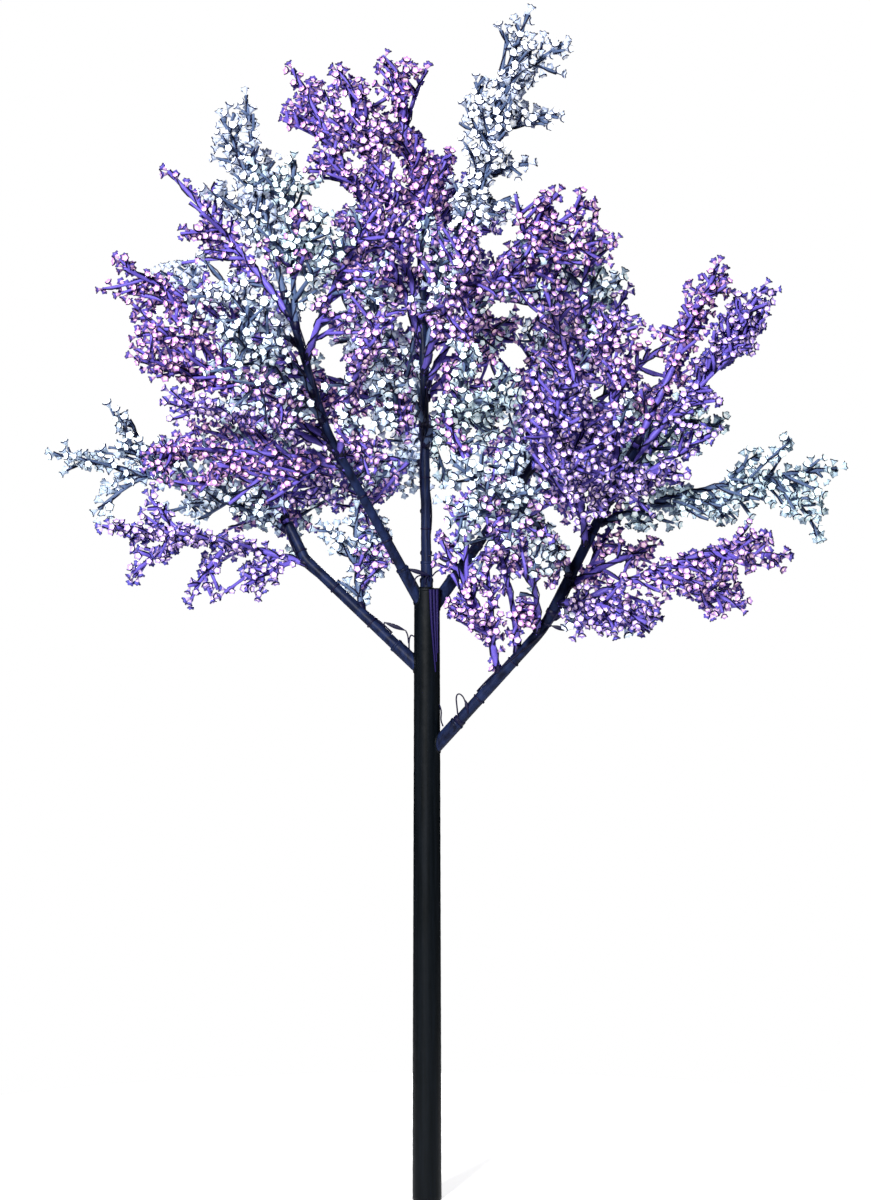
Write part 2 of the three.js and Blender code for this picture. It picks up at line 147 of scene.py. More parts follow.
# Arms: the longer side twigs of a spray, each as the share of the stem it leaves and the point it reaches.
ARMS = {
    "violet_inner_low": (
        (0.2, (172, -160, 1915)), (0.35, (60, -160, 1850)), (0.6, (82, -160, 1770)),
        (0.75, (120, -140, 2080)),
    ),
    "violet_inner_mid": ((0.35, (285, -100, 1765)), (0.75, (140, -120, 2090))),
    "white_front_right": ((0.6, (205, -640, 2170)), (0.75, (60, -760, 2130))),
    "violet_lower_right": ((0.8, (1050, -180, 1881)), (0.6, (965, -190, 1950)), (0.6, (920, -220, 1722))),
    "violet_low_front": ((0.5, (543, -380, 1675)), (0.3, (432, -330, 1690))),
    "violet_right_inner": ((0.3, (560, -80, 2040)),),
    "white_far_right": (
        (0.2, (620, -150, 1960)), (0.22, (1005, -130, 2052)), (0.6, (970, -140, 2190)),
        (0.75, (1125, -100, 2075)), (0.8, (1155, -80, 1930)),
    ),
    "violet_right_fork": (
        (0.6, (934, -260, 2629)), (0.7, (972, -280, 2668)), (0.5, (972, -300, 2568)),
        (0.4, (891, -320, 2475)),
    ),
    "violet_right_tower": ((0.5, (775, -270, 2620)),),
    "white_inner_left": ((0.6, (-320, 60, 1990)), (0.5, (-120, 90, 2000))),
    "violet_lower_left": (
        (0.1, (-554, -60, 1778)), (0.48, (-700, -40, 1740)), (0.68, (-879, -20, 1822)),
        (0.7, (-835, 60, 2077)),
    ),
    "violet_left_rise": ((0.2, (-262, 70, 2070)), (0.4, (-300, 60, 2180))),
    "white_far_left": (
        (0.12, (-500, -120, 2068)), (0.3, (-600, -60, 2100)), (0.6, (-899, 120, 2310)),
        (0.7, (-993, 100, 2010)),
    ),
    "violet_left_low": ((0.1, (-350, -140, 2205)),),
    "violet_left_mid": ((0.55, (-860, -120, 2620)), (0.45, (-750, -170, 2590)), (0.3, (-660, -170, 2520))),
    "violet_left_high": ((0.6, (-893, -80, 2655)),),
    "violet_left_spear": ((0.5, (-716, -160, 2830)),),
    "white_left_crest": ((0.4, (-290, -340, 2850)), (0.25, (-210, -430, 2760))),
    "white_left_spire": ((0.45, (-601, -120, 3170)), (0.2, (-621, -180, 2956))),
    "white_front_centre": ((0.15, (62, -140, 2095)),),
    "white_front_inner": ((0.2, (-140, -120, 2250)),),
    "violet_right_high": ((0.7, (492, -60, 2927)), (0.55, (545, -40, 2820))),
    "white_top_right": (
        (0.8, (237, -80, 3425)), (0.83, (415, -60, 3390)), (0.7, (400, -60, 3176)),
        (0.68, (140, -100, 3280)), (0.58, (317, -80, 3030)), (0.46, (267, -60, 2936)),
        (0.28, (110, -240, 2880)), (0.14, (45, -240, 2760)),
    ),
    "violet_top_left": ((0.78, (-442, 0, 3173)),),
    "violet_top_mid": ((0.35, (-322, -100, 3076)), (0.65, (-318, -70, 3255))),
    "violet_top": ((0.78, (5, 20, 3335)), (0.3, (-35, -40, 3117)), (0.2, (67, -20, 3079))),
}

# Growing rule of a spray, as in the part's source.
SIDES = 5
TURN = 2 / 5
STEM_RADII = (9, 4)
STEM_SPRING = 0.4
STEM_AIM = 3
TWIG_STEP = 96
TWIG_FIRST = 0.18
TWIG_LAST = 0.86
TWIG_LEAST = 3
TWIG_ANGLE = math.radians(52)
TWIG_ANGLE_SPREAD = math.radians(16)
TWIG_SHARES = (0.36, 0.17)
TWIG_LONGEST = (230, 110)
TWIG_SIZE_SPREAD = 0.4
TWIG_TRIES = (1, 0.7, 0.45)
TWIG_PROBES = (0.3, 0.65, 1)
TWIG_ROOM = 0.5
TRUMPET_LENGTH = 72
TRUMPET_RADIUS = 28
TRUMPET_TRIES = (1, 0.75)
CURVE_POINTS = 201
PATH_PIECES = 10
LANE_PROBES = 50
LOOKOUT = np.array([0, -9000, 1755])
STEEP = 0.95

# The same rule carried on: shoots between the twigs of a stem, and twiglets along every twig.
SHOOT_STEP = 24
SHOOT_SHARE = 1.1
SHOOT_ON = 14
ARM_SHORT = 24
ARM_RADII = (8.5, 5.6)
SHOOT_RADII = (6.0, 4.8)
TWIGLET_STEP = 30
TWIGLET_FIRST = 0.2
TWIGLET_LAST = 0.95
TWIGLET_SHARES = (0.8, 0.55)
TWIGLET_LEAST = 32
TWIGLET_RADII = (5.2, 4.2)
FINE_TRIES = (1, 0.7, 0.5)
FINE_ROOM = 5

# Looks of the limbs of a spray.
LIMB_GIRTH = {"violet": 1, "white": 0.85}
STEM_LOOK_RADII = (11.5, 6.2)
STEM_ON = 44
TWIG_LOOK_RADII = (7.2, 5.4)
LIMB_STEP = 24
LIMB_LEAST = 6
LEAST_POINTS = 3
ROUGH_POINTS = 21
LIMB_SIDES = 5
LIMB_KNOB = 0.14
KNOB_SEED = 77
TWIG_BOW = 0.05

# Leads: thin dark wires wound along stems and twigs. Their near-black also stands in for the shade in the
# crown's gaps and along the twigs' edges: painted shade.
LEAD_RADIUS = 2.5
LEAD_PITCH = 150
LEAD_STEP = 22
LEAD_LEAST = 4
LEAD_OUT = 0.6
LEAD_SIDES = 3

# Blossoms: five-lobed bells on short stalks. Each row is a ring, as (look of the belt that comes up to it,
# height, radius, points). The mouth's lobes stand out from its notches.
MOUTH_LOBE = (21, 12.8)
MOUTH_NOTCH = (18.8, 9.8)
MOUTH_LIP = (2.6, 0.8)
BELL_FOOT = -2
BELL_RINGS = (
    ("glow", 14, 6.2, 5),
    ("skin", *MOUTH_LOBE, 10),
    # The rim's near-black is painted shade: a dark outline round each bell's mouth.
    ("rim", MOUTH_LOBE[0] + MOUTH_LIP[0], MOUTH_LOBE[1] * MOUTH_LIP[1], 10),
    ("petal", 18, 6.2, 5),
    ("lamp", 21.5, 0, 1),
)
BLOSSOM_SEED = 1000
BLOSSOM_CENTRE = 16
BLOSSOM_STEP = {"violet": 16, "white": 18}
BLOSSOM_FIRST = 0.4
BLOSSOM_SHIFT = 0.4
BLOSSOM_STAND = 0.8
BLOSSOM_LEAN = math.radians(58)
BLOSSOM_LEAN_SPREAD = math.radians(30)
BLOSSOM_TWIST = math.radians(137.5)
BLOSSOM_SIZES = {"violet": (0.88, 1.16), "white": (0.95, 1.3)}
BLOSSOM_REACH = 11
BLOSSOM_ROOM = 4
BLOSSOM_APART = {"violet": 16.5, "white": 19}
BLOSSOM_FROM_LIMB = 6
PLACE_STEP = 4
PROBE_STEP = 9
CROWD_CELL = 20

# Where sprays of both colours meet inside the crown, some twigs take the other colour, fewer the further
# they are from it. The outer sprays and the top keep their own.
MIX_REACH = 450
MIX_LEVELS = (2050, 2750)
MIX_SHARES = {"violet": (0.1, 0.35), "white": (0.75, 0.15)}
MIX_TOP = 2850
MIX_HALF_WIDTH = 560
OTHER = {"violet": "white", "white": "violet"}

# Sky: where the crown is open to someone at the lookout, as (x, z, radius) at the tree's axis. These discs
# were fitted to the crown's gaps by a program, then thinned out, added to and rounded.
SKY_EDGE = 6
SKY = (
    (-40, 3420, 45), (-150, 3400, 30), (180, 3350, 50), (60, 3280, 55), (-460, 3260, 50), (360, 3240, 40),
    (-230, 3210, 15), (-470, 3190, 30), (20, 3190, 70), (-450, 3120, 35), (-370, 3100, 30),
    (260, 3100, 30), (-690, 3090, 60), (340, 3090, 45), (-660, 3010, 40), (220, 2960, 30),
    (300, 2960, 30), (-280, 2940, 35), (-760, 2930, 55), (540, 2870, 30), (-900, 2830, 45),
    (-780, 2800, 50), (-980, 2780, 60), (-700, 2780, 25), (600, 2770, 40), (-610, 2720, 25),
    (940, 2720, 40), (-370, 2680, 20), (680, 2630, 60), (-260, 2620, 20), (-160, 2610, 10),
    (210, 2610, 15), (300, 2600, 15), (-340, 2580, 20), (-55, 2575, 15), (-320, 2530, 35),
    (1020, 2490, 45), (-265, 2480, 15), (60, 2480, 15), (-670, 2470, 10), (250, 2470, 30), (20, 2450, 15),
    (660, 2430, 30), (-265, 2420, 25), (180, 2420, 15), (850, 2400, 25), (930, 2400, 50),
    (-860, 2370, 50), (520, 2350, 20), (1080, 2290, 50), (-820, 2270, 45), (-980, 2260, 60),
    (940, 2260, 55), (50, 2180, 15), (870, 2180, 40), (810, 2100, 30), (-385, 2090, 15),
    (-1020, 2080, 50), (-740, 2060, 20), (-880, 2040, 35), (-60, 2000, 30), (360, 2000, 15),
    (-610, 1990, 25), (790, 1950, 40), (1070, 1950, 40), (-930, 1890, 55), (470, 1880, 15),
    (-710, 1860, 30), (550, 1860, 20), (-270, 1850, 30), (-580, 1830, 25), (100, 1830, 20),
    (270, 1800, 20), (-770, 1790, 60), (980, 1790, 40), (335, 1770, 20), (-100, 1750, 50),
    (150, 1750, 15), (240, 1745, 20), (-550, 1730, 45), (740, 1720, 40), (80, 1650, 40), (770, 1610, 70),
    (110, 1560, 65), (620, 1560, 80), (10, 3110, 15), (-690, 2875, 20), (180, 2800, 15), (775, 2720, 20),
    (890, 2345, 20), (690, 1655, 25),
)

# Tints of blossom, dealt out by spray, as the colour of each belt of a bell in the order of its rings. The
# near-black rims are painted shade, a dark outline round each mouth.
LOOKS = [row[0] for row in BELL_RINGS]
TINTS = {
    "violet": {
        "rose": ((214, 178, 222), (88, 77, 168), (12, 8, 44), (186, 144, 214), (255, 222, 236)),
        "lilac": ((206, 182, 230), (84, 79, 172), (10, 8, 48), (172, 146, 220), (250, 228, 246)),
        "plum": ((216, 170, 214), (88, 73, 162), (13, 8, 42), (190, 138, 206), (255, 216, 228)),
    },
    "white": {
        # The white bells' skin is a darker bluish grey than their insides: partly painted shade on their
        # outsides.
        "ice": ((206, 224, 242), (180, 198, 224), (22, 32, 62), (220, 237, 250), (250, 253, 255)),
        "pearl": ((214, 224, 242), (187, 199, 226), (24, 32, 64), (228, 236, 250), (255, 255, 255)),
        "frost": ((204, 226, 236), (178, 201, 219), (21, 34, 60), (220, 241, 246), (248, 255, 255)),
    },
}
ROUGHNESS = dict(glow=0.4, skin=0.42, rim=0.5, petal=0.4, lamp=0.3)
GLOW = {
    "violet": dict(glow=0.2, petal=0.15, lamp=0.5),
    "white": dict(glow=0.25, petal=0.4, lamp=0.6),
}

# Surfaces of plastic and paint. The distances of their grain are in metres.
PLASTIC_SPECULAR = 0.2
PLASTIC_GRAIN = dict(scale=900, detail=2, strength=0.15, distance=0.0005)
PAINT_SPECULAR = 0.08
PAINT_PEEL = dict(scale=260, detail=3, strength=0.12, distance=0.001)
CLOUD_DETAIL = 6
TONE_STOPS = (0.35, 0.7)
GLOSS_SPREAD = 0.08

# Steelwork: hammered paint on the tubes, lips on the sleeves and the post, and weld beads where they meet.
RELIEF = 0.45
DIMPLES = ((3, 0.9), (5, 1.7), (8, 2.6))
DIMPLE_DRIFT = 3
POST_RINGS = 181
POST_SIDES = 64
SLEEVE_RINGS = 12
SLEEVE_SIDES = 32
LIP = (1.4, 9)
WELD_RADIUS = 3.4
WELD_RIPPLE = 0.5
WELD_RIPPLES = 18
WELD_POINTS = 72
WELD_SIDES = 8
PIPE_RINGS = 90
PIPE_SIDES = 28

# Leads of the boughs: one winds along each pipe, held by ties, and a collar grips the foot of each stem.
PIPE_LEAD_RADIUS = 2.6
PIPE_LEAD_PITCH = 700
PIPE_LEAD_FROM = 0.16
PIPE_LEAD_PHASE = -math.pi / 2
PIPE_LEAD_SIDES = 6
TIE_STEP = 150
TIE_THICK = 1.7
TIE_WIDTH = 5
BAND_STEPS = (-0.5, -0.4, 0.4, 0.5)
BAND_RISE = (0.2, 1, 1, 0.2)
BAND_SIDES = 20
COLLAR = (12.5, 26)
COLLAR_STEPS = (0, 0.1, 0.9, 1)
COLLAR_GIRTHS = (0.8, 1, 0.85, 0.6)
COLLAR_SIDES = 12

# Loose leads by the fork, as the points that each passes, and leaf-shaped connectors, as two ends and a
# half width. Leads on the front of the post, as (x, z) points, thin out downwards; their violet is a painted
# reflection, the blossoms' light gleaming down the post.
LOOSE_LEADS = (
    ((92, -52, 1398), (88, -50, 1440), (84, -52, 1476), (95, -55, 1484), (110, -55, 1468), (119, -55, 1424)),
    ((36, -14, 1450), (43, -16, 1430), (40, -20, 1404), (47, -16, 1386)),
    ((-124, 16, 1690), (-132, 18, 1664)),
    ((-63, 14, 1666), (-56, 12, 1652), (-54, 10, 1628)),
    ((-52, 6, 1600), (-53, 4, 1636), (-48, 2, 1654), (-37, 0, 1648)),
    ((-58, -36, 1846), (-66, -34, 1826)),
    ((6, -20, 1828), (-4, -24, 1822), (-4, -18, 1800)),
    ((-38, -40, 1796), (-37, -42, 1812), (-28, -40, 1826), (2, -26, 1829), (6, -18, 1812)),
    (
        (4, -14, 1884), (22, -18, 1886), (47, -22, 1881), (78, -10, 1858), (68, -4, 1846),
        (30, -16, 1843), (12, -14, 1820),
    ),
    ((376, -124, 1712), (392, -128, 1752), (404, -124, 1742), (384, -120, 1724)),
    ((346, -128, 1684), (360, -132, 1681)),
)
LEAVES = (
    ((112, -56, 1464), (121, -56, 1428), 5),
    ((-126, 16, 1690), (-62, 14, 1665), 6),
    ((-60, -36, 1847), (8, -20, 1827), 6),
    ((24, -18, 1888), (78, -12, 1858), 6),
    ((358, -132, 1681), (408, -130, 1667), 6),
)
LOOSE_RADIUS = 2.2
LOOSE_SIDES = 8
CORNER_ROUNDS = 3
CORNER_CUT = 0.25
LEAF_FLATNESS = 0.35
LEAF_POINTS = 13
LEAF_SIDES = 10
LEAF_END = 0.8
CLAMPS = (("rear_right_bough", 0.28), ("lower_right_bough", 0.475), ("lower_right_bough", 0.06))
CLAMP_THICK = 2.2
CLAMP_WIDTH = 16
POST_LEAD_REFLECTIONS = (
    ((10, 1786), (13, 1700), (19, 1620), (25, 1545)),
    ((20, 1786), (22, 1710), (25, 1640), (28, 1575)),
    ((29, 1786), (30, 1720), (30, 1655), (31, 1600)),
)
POST_LEAD_REFLECTION_RADII = (5, 2)

# Stage: a white room with a pale floor and soft lights, and the camera level in front of the tree.
CAMERA_PLACE = (0.025, -9.0, 1.755)
FRAME_HEIGHT = 3.516
SENSOR = 36
WHITE = (1, 1, 1, 1)
FLOOR_RADIUS = 2.4
FLOOR_POINTS = 96
FLOOR_COLOUR = (0.9, 0.9, 0.9, 1)
FLOOR_ROUGHNESS = 0.9
FLOOR_GLOW = 0.45
CROWN_CENTRE = Vector((0, 0, 2.3))
LAMPS = {
    "key": ((-2.4, -7.9, 4.4), 1.2, 1450),
    "back": ((0.6, 8.0, 4.2), 1.6, 520),
    "left": ((-8.0, 0.4, 4.0), 1.6, 130),
    "right": ((8.0, 0.4, 4.0), 1.6, 130),
}
AMBIENT = 0.015

UP = np.array([0.0, 0.0, 1.0])
ALONG_Y = np.array([0.0, 1.0, 0.0])


def unit(vectors):
    """The vectors at length one."""
    return vectors / np.linalg.norm(vectors, axis=-1, keepdims=True)


def shares(count):
    """Evenly spaced shares from 0 to 1."""
    return np.linspace(0, 1, count)


def lerp(ends, share):
    """The value at a share of the way between two ends."""
    return ends[0] + (ends[1] - ends[0]) * share


def side_of(direction):
    """A unit vector square to a direction and level where it can be."""
    level = UP if abs(direction[2]) < STEEP * np.linalg.norm(direction) else ALONG_Y
    return unit(np.cross(direction, level))


def frame_of(along, side):
    """The two axes across a limb, the first kept near its side."""
    first = unit(side - (side @ along) * along)
    return first, np.cross(along, first)


def turned(first, second, turns):
    """The directions at some turns from one axis towards another."""
    return first * np.cos(turns)[..., None] + second * np.sin(turns)[..., None]


def outward(along, side, roll):
    """A direction square to a limb, turned about it by roll."""
    first, second = frame_of(along, side)
    return first * math.cos(roll) + second * math.sin(roll)


def lean_out(along, side, angle, roll):
    """A direction that leans out of a limb by angle, turned about it by roll."""
    return along * math.cos(angle) + outward(along, side, roll) * math.sin(angle)


def face_roll(face):
    """How far one flat side of a five-sided limb is turned about it."""
    return 2 * math.pi * (face + 0.5) / SIDES


def spaced(points, count):
    """Evenly spaced points along a line of points."""
    lengths = np.concatenate([[0], np.cumsum(np.linalg.norm(np.diff(points, axis=0), axis=1))])
    places = np.linspace(0, lengths[-1], count)
    return np.stack([np.interp(places, lengths, points[:, k]) for k in range(3)], axis=1)


def length_of(points):
    """The length of a line of points."""
    return float(np.linalg.norm(np.diff(points, axis=0), axis=1).sum())


def bezier(controls, places):
    """Points of a quadratic curve at one or more shares."""
    start, control, end = controls
    t = np.asarray(places, float)[..., None]
    return (1 - t) ** 2 * start + 2 * t * (1 - t) * control + t**2 * end


def bezier_along(controls, share):
    """The direction of a quadratic curve at a share."""
    start, control, end = controls
    return unit((1 - share) * (control - start) + share * (end - control))


def on_curve(controls, share):
    """The point and direction of a quadratic curve at a share."""
    return bezier(controls, share), bezier_along(controls, share)


def seeded_random(seed):
    """Random numbers from 0 to 1, the same run of them for a seed as in the part's source."""
    state, low = seed, 0xFFFFFFFF
    while True:
        state = (state + 0x6D2B79F5) & low
        mixed = (state ^ (state >> 15)) * (state | 1) & low
        mixed ^= (mixed + (mixed ^ (mixed >> 7)) * (mixed | 61)) & low
        yield (mixed ^ (mixed >> 14)) / 2**32


def varied(middle, spread, random):
    """A random value within half a spread of its middle."""
    return middle + spread * (next(random) - 0.5)


def any_turn(random):
    """A random turn about an axis."""
    return 2 * math.pi * next(random)


def bough_line(foot, bend, tip, **_):
    """The centre line of a bough: two straight runs with a short round bend between them."""
    start, turn, end = np.array([0, 0, foot], float), np.array(bend, float), np.array(tip, float)
    before = turn + BEND_SHARE * (start - turn)
    after = turn + BEND_SHARE * (end - turn)
    curve = bezier((before, turn, after), shares(BEND_POINTS))
    return spaced(np.vstack([start, curve, end]), BOUGH_POINTS)


def at_share(line, share):
    """The point and direction at a share of the length of an evenly spaced line."""
    place = share * (len(line) - 1)
    low = min(int(place), len(line) - 2)
    return lerp(line[low : low + 2], place - low), unit(line[low + 1] - line[low])


def swung(base, along, tip, short, sprung=False):
    """The controls of a limb that swings out from its base and ends short of a tip."""
    reach = np.array(tip, float) - base
    aim = unit(reach)
    reach = reach - aim * short
    spring = along if sprung else unit(along + STEM_AIM * aim)
    return np.array([base, base + spring * STEM_SPRING * np.linalg.norm(reach), base + reach])


def path_of(controls):
    """The evenly spaced points of a limb that mark the room it grows in."""
    return spaced(bezier(controls, shares(CURVE_POINTS)), PATH_PIECES + 1)


def lay_out():
    """The tree's boughs and sprays as centre lines, and the room that each spray has."""
    boughs, sprays, arms, owners = {}, [], [], []
    for name, sizes in BOUGHS.items():
        boughs[name] = bough_line(**sizes)
        for spray, (at, tip) in SPRAYS[name].items():
            base, along = at_share(boughs[name], at)
            if at == 1:
                base = base + along * CLEARANCE
            stem = swung(base, along, tip, TRUMPET_LENGTH, at == 1)
            own_arms = [
                swung(*on_curve(stem, share), end, ARM_SHORT) for share, end in ARMS.get(spray, ())
            ]
            arms += own_arms
            owners += [len(sprays)] * len(own_arms)
            kind = spray.split("_")[0]
            side = side_of(unit(np.array(tip, float) - base))
            sprays.append(
                dict(name=spray, kind=kind, stem=stem, side=side, arms=own_arms, seed=len(sprays) + 1)
            )
    post = np.array([[0, 0, 0], [0, 0, POST_HEIGHT]], float)
    limbs = [spaced(line, PATH_PIECES + 1) for line in boughs.values()] + [spaced(post, PATH_PIECES + 1)]
    radii = [sizes["radii"][0] + SOCKET_WALL for sizes in BOUGHS.values()] + [POST_FOOT_RADIUS]
    marks, widths = [], []
    for name, sizes in BOUGHS.items():
        lane = spaced(boughs[name], LANE_PROBES + 1)[: math.ceil(sizes["shown"] * LANE_PROBES)]
        marks.append(lane)
        widths.append(np.full(len(lane), sizes["radii"][0]))
    return dict(
        boughs=boughs,
        sprays=sprays,
        paths=np.array([path_of(spray["stem"]) for spray in sprays] + [path_of(arm) for arm in arms]),
        owners=np.array([*range(len(sprays)), *owners]),
        limbs=np.array(limbs),
        limb_radii=np.array(radii, float),
        marks=np.concatenate(marks),
        widths=np.concatenate(widths),
    )


def distances(points, paths):
    """The least distance from each point to each path."""
    start, run = paths[:, :-1], np.diff(paths, axis=1)
    away = points[:, None, None] - start
    share = np.clip((away * run).sum(-1) / (run * run).sum(-1), 0, 1)
    return np.linalg.norm(away - share[..., None] * run, axis=-1).min(-1)


def hides_bough(points, reach):
    """Whether a ball at each point stands before a bough, seen from the lookout."""
    sight = points - LOOKOUT
    marks = TREE["marks"]
    behind = LOOKOUT + sight[:, None] * ((marks[:, 1] - LOOKOUT[1]) / sight[:, 1:2])[..., None]
    off = np.linalg.norm(behind - marks, axis=-1)
    return ((points[:, 1:2] < marks[:, 1]) & (off < TREE["widths"] + reach)).any(1)


def in_sky(points, reach):
    """Whether a ball at each point stands in the open sky, seen from the lookout."""
    nearer = -LOOKOUT[1] / (points[:, 1] - LOOKOUT[1])
    across = points[:, 0] * nearer
    height = LOOKOUT[2] + (points[:, 2] - LOOKOUT[2]) * nearer
    gaps = np.array(SKY, float)
    off = np.hypot(across[:, None] - gaps[:, 0], height[:, None] - gaps[:, 1])
    return (off < gaps[:, 2] + SKY_EDGE + reach).any(1)


def has_room(points, reach, own, edge=None):
    """Whether a ball at each point keeps to its spray's room and off the boughs.

    The room ends halfway to the other stems, less the ball's reach. With an edge, it ends halfway to the
    other stems and arms, less the edge.
    """
    points = np.atleast_2d(points)
    count = len(TREE["sprays"]) if edge is None else len(TREE["owners"])
    apart = distances(points, TREE["paths"][:count])
    mine = TREE["owners"][:count] == own
    free = distances(points, TREE["limbs"]) - TREE["limb_radii"]
    return (
        (apart[:, ~mine].min(1) - apart[:, mine].min(1) > 2 * (reach if edge is None else edge) + CLEARANCE)
        & (free.min(1) > reach + CLEARANCE)
        & ~hides_bough(points, reach)
    )


def probes_of(root, heading, size):
    """The points along a twig where its room is tried."""
    return root + heading * size * np.array(TWIG_PROBES)[:, None]


def twig_fits(root, heading, size, reach, own):
    """Whether a twig of the source, with the trumpet at its end, has room."""
    if not has_room(probes_of(root, heading, size), reach, own).all():
        return False
    end = root + heading * size
    return any(
        has_room(end + heading * part * TRUMPET_LENGTH, part * TRUMPET_RADIUS, own)[0]
        for part in TRUMPET_TRIES
    )


def fine_fits(root, heading, size, own):
    """Whether a finer twig has room, and leaves the sky open."""
    probes = probes_of(root, heading, size)
    return has_room(probes, FINE_ROOM, own, FINE_ROOM).all() and not in_sky(probes, FINE_ROOM / 2).any()


def bowed(root, heading, size, roll):
    """The centre line of a twig, bowed a little to one side."""
    end = root + heading * size
    bow = outward(heading, side_of(heading), roll) * TWIG_BOW * size
    count = max(LEAST_POINTS, round(size / LIMB_STEP) + 1)
    return bezier((root, root + heading * size / 2 + bow, end), shares(count))


def source_twigs(own, spray, random):
    """The twigs that the source's rule grows on a spray's stem, as (root, heading, size) rows."""
    stem, side = spray["stem"], spray["side"]
    length = length_of(bezier(stem, shares(CURVE_POINTS)))
    count = max(TWIG_LEAST, math.floor(length * (TWIG_LAST - TWIG_FIRST) / TWIG_STEP + 0.5))
    first_face = math.floor(SIDES * next(random))
    twigs = []
    for i in range(count):
        share = lerp((TWIG_FIRST, TWIG_LAST), i / (count - 1))
        angle = varied(TWIG_ANGLE, TWIG_ANGLE_SPREAD, random)
        spread = varied(1, TWIG_SIZE_SPREAD, random)
        # The third number turns the source's blossom.
        next(random)
        full = spread * min(lerp(TWIG_LONGEST, share), length * lerp(TWIG_SHARES, share))
        root, along = on_curve(stem, share)
        faces = [first_face + (i + k) * SIDES * TURN for k in range(SIDES)]
        for size, face in [(full * part, face) for part in TWIG_TRIES for face in faces]:
            heading = lean_out(along, side, angle, face_roll(face))
            if twig_fits(root, heading, size, TWIG_ROOM * lerp(STEM_RADII, share), own):
                twigs.append((root, heading, size + TRUMPET_LENGTH / 2))
                break
    return twigs


def finer(own, root, along, side, size, face, random):
    """A finer twig on the first side of a limb where it has room, or None."""
    angle = varied(TWIG_ANGLE, TWIG_ANGLE_SPREAD, random)
    full = size * varied(1, TWIG_SIZE_SPREAD, random)
    for part in FINE_TRIES:
        for k in range(SIDES):
            heading = lean_out(along, side, angle, face_roll(face + k * SIDES * TURN))
            if fine_fits(root, heading, full * part, own):
                return root, heading, full * part
    return None


def twig_kind(spray, middle, random):
    """The colour of a twig: its spray's, or at times the other where a spray of that one is near."""
    kind = spray["kind"]
    if middle[2] > MIX_TOP or abs(middle[0]) > MIX_HALF_WIDTH:
        return kind
    away = distances(middle[None], TREE["paths"][: len(TREE["sprays"])])[0]
    same = np.array([other["kind"] == kind for other in TREE["sprays"]])
    nearness = 1 - (away[~same].min() - away[same].min()) / MIX_REACH
    share = np.interp(middle[2], MIX_LEVELS, MIX_SHARES[kind])
    return OTHER[kind] if next(random) < share * nearness else kind


def limb_line(controls, on=0):
    """The centre line of a stem or arm, with a last stretch straight on."""
    rough = bezier(controls, shares(ROUGH_POINTS))
    count = max(LIMB_LEAST, round(length_of(rough) / LIMB_STEP))
    line = bezier(controls, shares(count + 1))
    return np.vstack([line, line[-1] + bezier_along(controls, 1) * on]) if on else line


def shoots(own, controls, side, random):
    """The fine twigs along a stem or arm, shorter towards its tip, as (root, heading, size) rows."""
    length = length_of(limb_line(controls))
    count = max(TWIG_LEAST, round(length * (TWIG_LAST - TWIG_FIRST) / SHOOT_STEP))
    found = []
    for i in range(count):
        share = lerp((TWIG_FIRST, 1), (i + 0.5) / count)
        size = SHOOT_SHARE * min(lerp(TWIG_LONGEST, share), length * lerp(TWIG_SHARES, share))
        size = max(TWIGLET_LEAST, min(size, (1 - share) * length + SHOOT_ON))
        root, along = on_curve(controls, share)
        found.append(finer(own, root, along, side, size, i * SIDES * TURN, random))
    return [shoot for shoot in found if shoot]


def twiglets(own, line, size, random):
    """The fine twigs along a twig."""
    count = max(1, round(size * (TWIGLET_LAST - TWIGLET_FIRST) / TWIGLET_STEP))
    found = []
    for k in range(count):
        place = lerp((TWIGLET_FIRST, TWIGLET_LAST), (k + 0.5) / count)
        base, along = at_share(line, place)
        reach = max(TWIGLET_LEAST, size * lerp(TWIGLET_SHARES, place))
        found.append(finer(own, base, along, side_of(along), reach, k * SIDES * TURN, random))
    return [twiglet for twiglet in found if twiglet]


def grow(own, spray):
    """Every limb of a spray: its centre line, radii, colour, and how many leads it carries."""
    random = seeded_random(spray["seed"])
    limbs = []

    def add(line, radii, kind, leads=1):
        radii = lerp(radii, shares(len(line))) * LIMB_GIRTH[kind]
        limbs.append(dict(line=line, radii=radii, kind=kind, leads=leads))

    def add_fine(found, radii, kind=None):
        for root, heading, size in found:
            line = bowed(root, heading, size, any_turn(random))
            add(line, radii, kind or twig_kind(spray, line[len(line) // 2], random))

    add(limb_line(spray["stem"], STEM_ON), STEM_LOOK_RADII, spray["kind"], leads=2)
    twigs = source_twigs(own, spray, random)
    add_fine(shoots(own, spray["stem"], spray["side"], random), SHOOT_RADII)
    for arm in spray["arms"]:
        add(limb_line(arm), ARM_RADII, spray["kind"])
        add_fine(shoots(own, arm, side_of(unit(arm[2] - arm[0])), random), SHOOT_RADII, spray["kind"])
    for root, heading, size in twigs:
        if in_sky(probes_of(root, heading, size)[1:], 0).any():
            continue
        kind = twig_kind(spray, root + heading * size / 2, random)
        line = bowed(root, heading, size, any_turn(random))
        add(line, TWIG_LOOK_RADII, kind)
        add_fine(twiglets(own, line, size, random), TWIGLET_RADII, kind)
    return limbs


class Crowd:
    """Points in cells, for finding whether a new point is too near to one of them."""

    def __init__(self, cell):
        self.cell = cell
        self.cells = {}

    def key(self, point):
        return tuple(int(x) for x in np.floor(point / self.cell))

    def add(self, point, owner):
        self.cells.setdefault(self.key(point), []).append((point, owner))

    def near(self, point, least, owner=None):
        x, y, z = self.key(point)
        steps = (-1, 0, 1)
        for cell in ((x + i, y + j, z + k) for i in steps for j in steps for k in steps):
            for other, name in self.cells.get(cell, ()):
                if name != owner and np.sum((other - point) ** 2) < least * least:
                    return True
        return False


